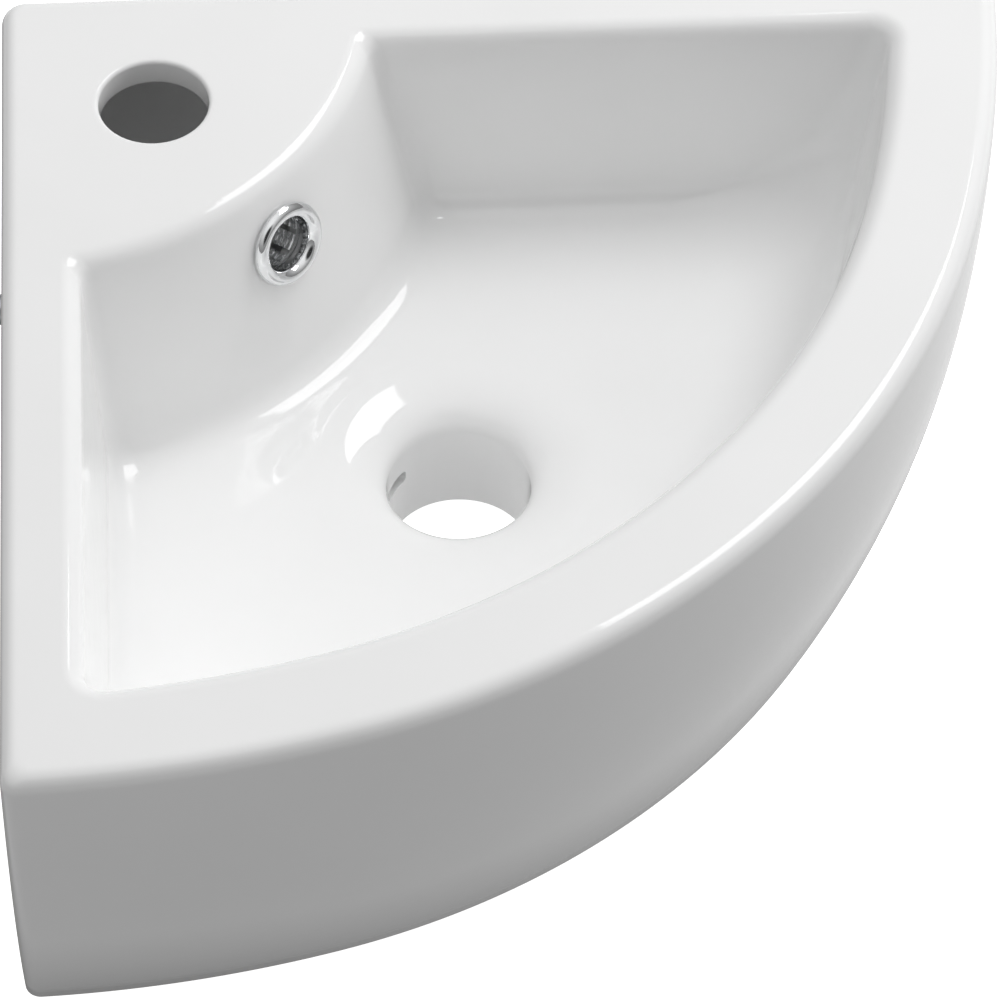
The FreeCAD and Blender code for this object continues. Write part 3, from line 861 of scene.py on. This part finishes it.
def nylon_material():
    """White moulded nylon: slightly cloudy, with a soft sheen."""
    material, tree, shader = new_material("white_nylon")
    cloud = mottle(tree, 90.0)
    colour = mixed(tree, cloud, (0.74, 0.74, 0.72, 1), (0.82, 0.82, 0.80, 1))
    bump = node(tree, "ShaderNodeBump", {
        "Strength": 0.2, "Distance": 0.00003, "Height": mottle(tree, 1500.0)})
    tree.links.new(colour, shader.inputs["Base Color"])
    tree.links.new(mottle(tree, 90.0, 3.0, 0.36, 0.5), shader.inputs["Roughness"])
    tree.links.new(bump.outputs["Normal"], shader.inputs["Normal"])
    return material


def zinc_material():
    """Zinc-plated steel: grey, with the bluish cloudiness of the bath and fine drawing marks."""
    material, tree, shader = new_material("zinc_plate")
    cloud = mottle(tree, 140.0, 4.0)
    colour = mixed(tree, cloud, (0.50, 0.51, 0.53, 1), (0.68, 0.70, 0.74, 1))
    bump = node(tree, "ShaderNodeBump", {
        "Strength": 0.3, "Distance": 0.00003, "Height": mottle(tree, 1800.0)})
    tree.links.new(colour, shader.inputs["Base Color"])
    tree.links.new(mottle(tree, 140.0, 4.0, 0.24, 0.42), shader.inputs["Roughness"])
    tree.links.new(bump.outputs["Normal"], shader.inputs["Normal"])
    shader.inputs["Metallic"].default_value = 1.0
    return material


nylon, zinc = nylon_material(), zinc_material()
cut_tree, cut_sockets = thread_tree()
bush_piece, washer_piece, nut_piece = bush(), washer(), nut()
bolt_meshes = hanger_bolt(cut_tree, cut_sockets, zinc)
on_bush = CLAY + BUSH_FLANGE_THICK
hardware = [("fixing_bush", [bush_piece.data], 0.0, nylon, "white_plastic"),
            ("fixing_washer", [washer_piece.data], on_bush, zinc, "zinc_steel"),
            ("fixing_nut", [nut_piece.data], on_bush + WASHER_THICK, zinc, "zinc_steel"),
            ("hanger_bolt", bolt_meshes, -SCREW_LENGTH, zinc, "zinc_steel")]
for side, hole_place, axis in (("left_", (0, -FIXING_PLACE, -FIXING_DEPTH), "Y"),
                               ("back_", (FIXING_PLACE, 0, -FIXING_DEPTH), "X")):
    hole = Matrix.Translation(hole_place) @ Matrix.Rotation(math.pi / 2, 4, axis)
    for piece, meshes, start, finish, slot in hardware:
        made = placed(meshes, side + piece, hole @ Matrix.Translation((0, 0, start)))
        made.data.materials.clear()
        made.data.materials.append(finish)
        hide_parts(side + piece)
        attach(made, "basin")
for spare in (bush_piece, washer_piece, nut_piece):
    drop(spare)

# ---------------------------------------------------------------- floor, light and camera
# The basin stands on a plain pale floor, which the camera sees as pure white. To everything else
# the floor glows as a painted light, with a painted shadow beneath the basin and a painted pool
# of light under the waste hole. One soft box hangs high on its right, a large one that leaves no
# highlight stands low on its right, and the pale room round it is brightest overhead, with a dark
# patch about where the camera stands.
FLOOR_HEIGHT = -HEIGHT - 0.0005
FLOOR_REACH = 12.0
FLOOR_COLOUR = (0.20, 0.20, 0.20, 1)      # as it throws light back
SEEN_COLOUR = (0.9, 0.9, 0.9, 1)
# painted light: the floor's own glow, faint on what it lights and stronger in its mirror image
GLOW_ON_PIECES, GLOW_IN_REFLECTIONS = 0.13, 0.65
PAINTED_SHADOW_GLOW, BENEATH_EDGE = 0.08, 0.03   # painted shadow: the glow is dimmer under the basin, fading in near its foot
GLOW_UNDER_WASTE = 0.65                   # painted light coming up through the waste hole: the floor glows brighter under it
WASTE_GLOW_CORE, WASTE_GLOW_EDGE = 0.03, 0.05


def studio_floor():
    """A floor that the camera sees as white; what it lights, and its mirror image, are dimmer.
    To other rays it glows as a painted light, with a painted shadow beneath the basin and a
    painted pool of light under the waste hole.
    """
    bm = bmesh.new()
    bmesh.ops.create_grid(bm, x_segments=1, y_segments=1, size=FLOOR_REACH,
                          matrix=Matrix.Translation((0, 0, FLOOR_HEIGHT)))
    floor = finished(bm, "floor")
    material, tree, shader = new_material("floor_white")
    path = node(tree, "ShaderNodeLightPath")
    seen, mirrored_in = path.outputs["Is Camera Ray"], path.outputs["Is Glossy Ray"]
    colour = mixed(tree, seen, FLOOR_COLOUR, SEEN_COLOUR)
    place = node(tree, "ShaderNodeTexCoord").outputs["Object"]

    def far_from(x, y):
        spot = node(tree, "ShaderNodeVectorMath", {0: place, 1: (x, y, FLOOR_HEIGHT)},
                    operation="DISTANCE")
        return spot.outputs["Value"]

    round_about = node(tree, "ShaderNodeMapRange", {
        "Value": mirrored_in, "To Min": GLOW_ON_PIECES, "To Max": GLOW_IN_REFLECTIONS})
    # painted shadow: the floor's glow fades out beneath the basin
    lit = node(tree, "ShaderNodeMapRange", {
        "Value": far_from(0.0, 0.0), "From Min": SIDE - BENEATH_EDGE, "From Max": SIDE,
        "To Min": PAINTED_SHADOW_GLOW, "To Max": round_about.outputs[0]})
    # painted light: a bright spot in the floor's glow under the waste hole
    painted_waste_glow = node(tree, "ShaderNodeMapRange", {
        "Value": far_from(WASTE.x, WASTE.y), "From Min": WASTE_GLOW_CORE,
        "From Max": WASTE_GLOW_EDGE, "To Min": GLOW_UNDER_WASTE, "To Max": 0.0})
    bright = reckoned(tree, "MAXIMUM", lit.outputs[0], painted_waste_glow.outputs[0])
    tree.links.new(colour, shader.inputs["Base Color"])
    tree.links.new(mixed(tree, seen, bright, 1.0, "FLOAT"), shader.inputs["Emission Strength"])
    shader.inputs["Roughness"].default_value = 0.9
    shader.inputs["Emission Color"].default_value = (1, 1, 1, 1)
    floor.data.materials.append(material)


def soft_box(name, place, aim, width, length, power, roll=0.0, shines=True):
    light = bpy.data.lights.new(name, "AREA")
    light.shape = "RECTANGLE"
    light.size = width
    light.size_y = length
    light.energy = power
    box = bpy.data.objects.new(name, light)
    box.location = place
    turn = (Vector(aim) - Vector(place)).to_track_quat("-Z", "Y").to_matrix().to_4x4()
    box.rotation_euler = (turn @ Matrix.Rotation(roll, 4, "Z")).to_euler()
    box.visible_glossy = shines
    bpy.context.scene.collection.objects.link(box)


studio_floor()
soft_box("key_box", (0.900, 0.597, 1.592), aim=(0.16, -0.13, 0.0), width=0.95, length=0.78,
         power=10.5, roll=math.radians(-16.6))
soft_box("right_box", (2.02, 1.40, 0.62), aim=(0.2, -0.13, -0.03), width=3.2, length=1.6,
         power=32, shines=False)

HORIZON, ZENITH = 0.19, 0.94
DARK_WAY = (0.15, -0.74, 0.655)           # towards the middle of the dark patch
DARK_CORE, DARK_EDGE = math.radians(12), math.radians(26)
DARK_LEFT = 0.06                          # share of the light that is left in its core
FRONT_LIFT, FRONT_REACH = 1.2, -0.7       # the camera's side of the room is this much brighter

world = bpy.data.worlds.new("studio")
world.use_nodes = True
sky = world.node_tree
direction = node(sky, "ShaderNodeTexCoord").outputs["Generated"]
towards = node(sky, "ShaderNodeSeparateXYZ", {"Vector": direction})
upwards = reckoned(sky, "MAXIMUM", towards.outputs["Z"], 0.0)
height = node(sky, "ShaderNodeMapRange", {
    "Value": reckoned(sky, "POWER", upwards, 2.0), "To Min": HORIZON, "To Max": ZENITH})
facing = node(sky, "ShaderNodeVectorMath", {0: direction, 1: DARK_WAY}, operation="DOT_PRODUCT")
dark = node(sky, "ShaderNodeMapRange", {
    "Value": facing.outputs["Value"], "From Min": math.cos(DARK_EDGE),
    "From Max": math.cos(DARK_CORE), "To Min": 1.0, "To Max": DARK_LEFT},
    interpolation_type="SMOOTHSTEP")
in_front = node(sky, "ShaderNodeMapRange", {
    "Value": towards.outputs["Y"], "From Min": FRONT_REACH, "From Max": 0.0,
    "To Min": FRONT_LIFT, "To Max": 1.0})
lifted = reckoned(sky, "MULTIPLY", height.outputs[0], in_front.outputs[0])
strength = reckoned(sky, "MULTIPLY", lifted, dark.outputs[0])
sky.links.new(strength, sky.nodes["Background"].inputs["Strength"])
sky.nodes["Background"].inputs["Color"].default_value = (1, 1, 1, 1)
bpy.context.scene.world = world

CAMERA_PITCH = math.radians(49.76)        # how far it looks down
CAMERA_YAW = math.radians(2.76)
CAMERA_PLACE = (0.0902, -1.4572, 1.4652)
LENS_LENGTH, SENSOR_WIDTH = 230.44, 36.0  # in millimetres
lens = bpy.data.cameras.new("camera")
lens.lens = LENS_LENGTH
lens.sensor_width = SENSOR_WIDTH
camera = bpy.data.objects.new("camera", lens)
camera.location = CAMERA_PLACE
camera.rotation_euler = (math.pi / 2 - CAMERA_PITCH, 0, -CAMERA_YAW)
bpy.context.scene.collection.objects.link(camera)
bpy.context.scene.camera = camera
bpy.context.scene.view_settings.view_transform = "Standard"
